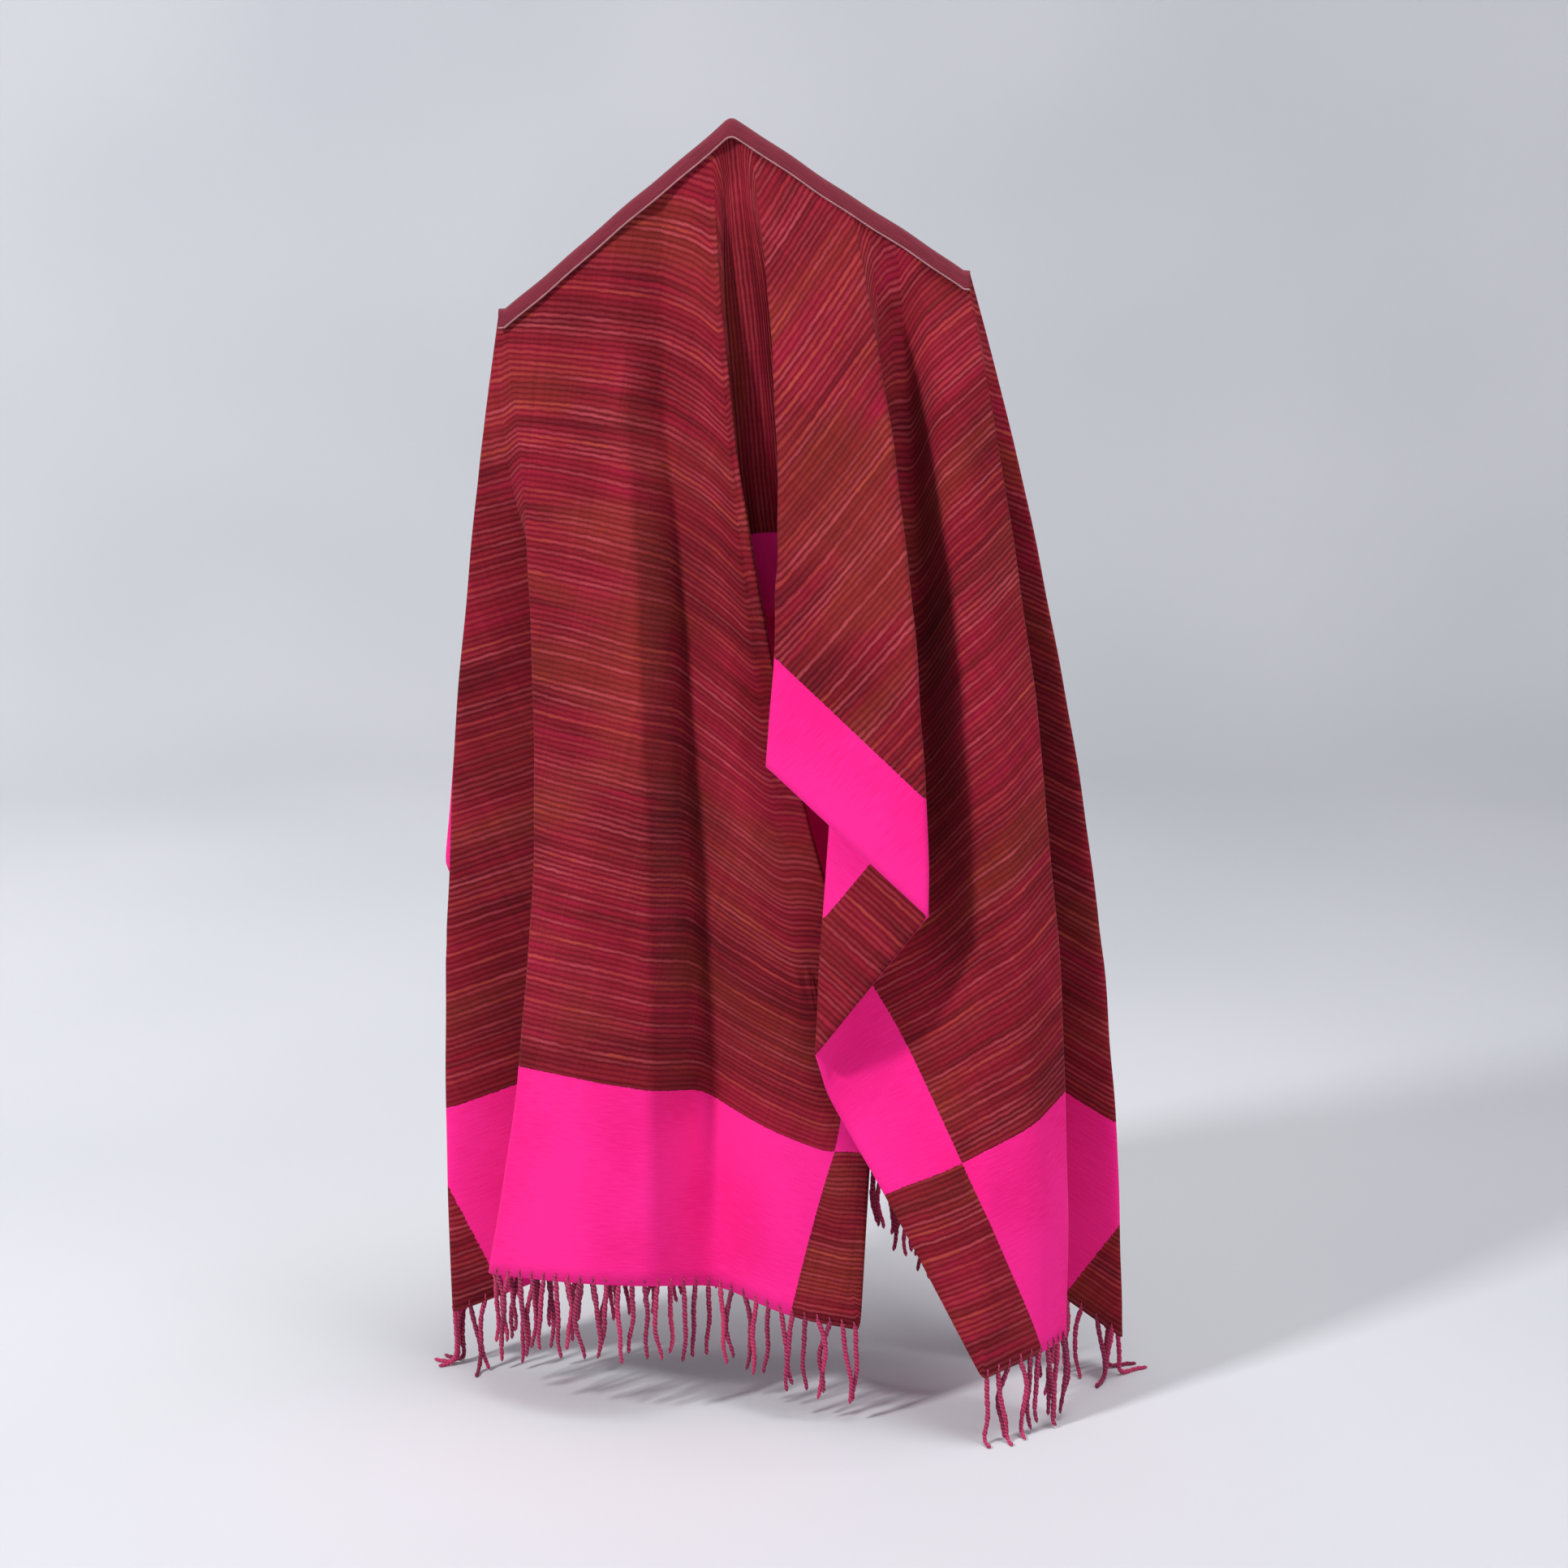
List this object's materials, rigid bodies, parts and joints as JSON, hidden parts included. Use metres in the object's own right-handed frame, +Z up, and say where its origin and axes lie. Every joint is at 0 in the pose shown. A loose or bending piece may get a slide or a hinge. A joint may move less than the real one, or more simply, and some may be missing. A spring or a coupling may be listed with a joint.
{
  "type": "striped shawl blanket",
  "caption": "Fringed striped blanket hung by one fold like a cape, with plain contrasting borders and striped corners; wraps or covers.",
  "frame": {"origin": "peak of the fold that the blanket hangs by", "axes": "+Z up, -Y the front, +X to the right seen from the front; the floor that the fringe reaches is 1.098 m below the origin"},
  "size_m": [0.6482, 0.2998, 1.1016],
  "materials": {
    "cloth": "slightly fuzzy double woven wool, red striped field and hot pink borders",
    "band": "plain dark red folded band with a pale stitched edge",
    "fringe": "twisted wool yarn, crimson and mauve"
  },
  "bodies": {
    "root": {"cloth": "cloth", "top_band": "band", "fringe_left": "fringe", "fringe_right": "fringe"}
  },
  "joints": []
}
